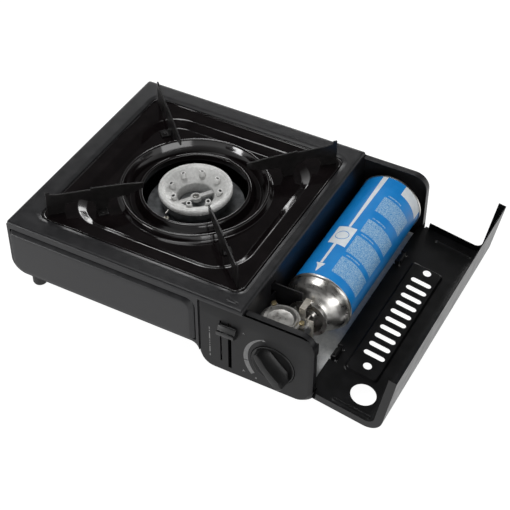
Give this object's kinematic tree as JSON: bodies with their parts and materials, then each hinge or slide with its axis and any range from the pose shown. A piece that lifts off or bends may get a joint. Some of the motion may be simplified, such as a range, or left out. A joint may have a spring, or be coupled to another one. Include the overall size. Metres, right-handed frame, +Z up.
{
  "type": "butane cassette stove",
  "caption": "Tabletop gas stove with a square enamel drip pan, four pan supports, a round burner, a knob, a lock lever and a hinged lid over the cartridge bay.",
  "frame": {"origin": "centre of the whole object's box, with the lid open, at table height", "axes": "+X along the front to the cartridge side, +Y from the front panel to the back, +Z up"},
  "size_m": [0.4164, 0.2786, 0.117],
  "materials": {
    "case_paint": "satin dark grey powder coat",
    "bay_paint": "semi-gloss black coat",
    "galvanised_steel": "zinc-coated, faint spangle",
    "foot_rubber": "matt moulded rubber",
    "plated_steel": "bright zinc plate",
    "fascia_plastic": "satin dark grey",
    "pan_enamel": "glossy black-brown vitreous enamel",
    "support_enamel": "matt black enamel",
    "burner_casting": "dark cast alloy",
    "burner_aluminium": "die-cast, shot-blasted",
    "gas_brass": "machined",
    "igniter_ceramic": "glazed",
    "lead_cover": "silicone cover",
    "igniter_plastic": "moulded",
    "knob_plastic": "fine moulded grain",
    "zinc_casting": "die-cast zinc",
    "nickel_plate": "bright nickel",
    "seal_rubber": "smooth",
    "can_print": "printed blue lacquer",
    "tinplate": "bright drawn tinplate",
    "lid_enamel": "glossy black inside, satin outside"
  },
  "bodies": {
    "case": {"lower_case": "case_paint", "front_panel": "case_paint", "back_panel": "case_paint", "top_plate": "case_paint", "bay_divider": "bay_paint", "bay_front_frame": "bay_paint", "heat_plate": "galvanised_steel", "tall_feet": "foot_rubber", "short_feet": "foot_rubber", "case_screws": "plated_steel", "control_fascia": "fascia_plastic", "burner_bracket": "galvanised_steel", "burner_body": "burner_casting", "burner_cap": "burner_aluminium", "cap_screw": "plated_steel", "mixing_tube": "galvanised_steel", "gas_jet": "gas_brass", "gas_pipe": "gas_brass", "electrode_ceramic": "igniter_ceramic", "electrode": "plated_steel", "igniter_lead": "lead_cover", "piezo_igniter": "igniter_plastic", "regulator_body": "zinc_casting", "diaphragm_housing": "nickel_plate", "diaphragm": "seal_rubber", "diaphragm_cover": "nickel_plate", "cover_screws": "gas_brass", "regulator_screws": "gas_brass", "inlet_nozzle": "gas_brass", "inlet_seal": "seal_rubber", "guide_tab": "nickel_plate", "slider_guide": "galvanised_steel", "pusher_guide": "galvanised_steel", "hinge_brackets": "bay_paint", "hinge_pins": "plated_steel"},
    "pan": {"drip_pan": "pan_enamel", "pan_support_left": "support_enamel", "pan_support_back": "support_enamel", "pan_support_right": "support_enamel", "pan_support_front": "support_enamel", "support_rivets": "support_enamel"},
    "knob": {"control_knob": "knob_plastic", "knob_shaft": "plated_steel", "knob_cam": "igniter_plastic"},
    "plunger": {"piezo_plunger": "igniter_plastic"},
    "lever": {"lever_grip": "knob_plastic", "lever_slider": "plated_steel"},
    "pusher": {"cartridge_pusher": "plated_steel"},
    "cartridge": {"cartridge_can": "can_print", "cartridge_base": "tinplate", "cartridge_dome": "tinplate", "cartridge_collar": "tinplate", "cartridge_valve": "tinplate"},
    "lid": {"lid_cover": "lid_enamel"}
  },
  "joints": [
    {"name": "lid_hinge", "type": "hinge", "parent": "case", "child": "lid", "pos_m": [0.1248, 0.0059, 0.02], "axis": [0, -1, 0], "range_deg": [0, 99.8]},
    {"name": "pan_lift", "type": "slide", "parent": "case", "child": "pan", "axis": [0, 0, 1], "range_m": [0, 0.06]},
    {"name": "knob_turn", "type": "hinge", "parent": "case", "child": "knob", "pos_m": [0.0859, -0.12635, 0.038], "axis": [0, -1, 0], "range_deg": [0, 120]},
    {"name": "plunger_slide", "type": "slide", "parent": "case", "child": "plunger", "axis": [0, 1, 0], "range_m": [0, 0.003]},
    {"name": "lever_slide", "type": "slide", "parent": "case", "child": "lever", "axis": [0, 0, -1], "range_m": [0, 0.034]},
    {"name": "pusher_slide", "type": "slide", "parent": "case", "child": "pusher", "axis": [0, -1, 0], "range_m": [0, 0.004]},
    {"name": "cartridge_slide", "type": "slide", "parent": "case", "child": "cartridge", "axis": [0, -1, 0], "range_m": [0, 0.004]}
  ],
  "couplings": [
    {"joint": "plunger_slide", "follows": "knob_turn", "m_per_rad": 0.001431},
    {"joint": "pusher_slide", "follows": "lever_slide", "ratio": 0.11765},
    {"joint": "cartridge_slide", "follows": "lever_slide", "ratio": 0.11765}
  ]
}
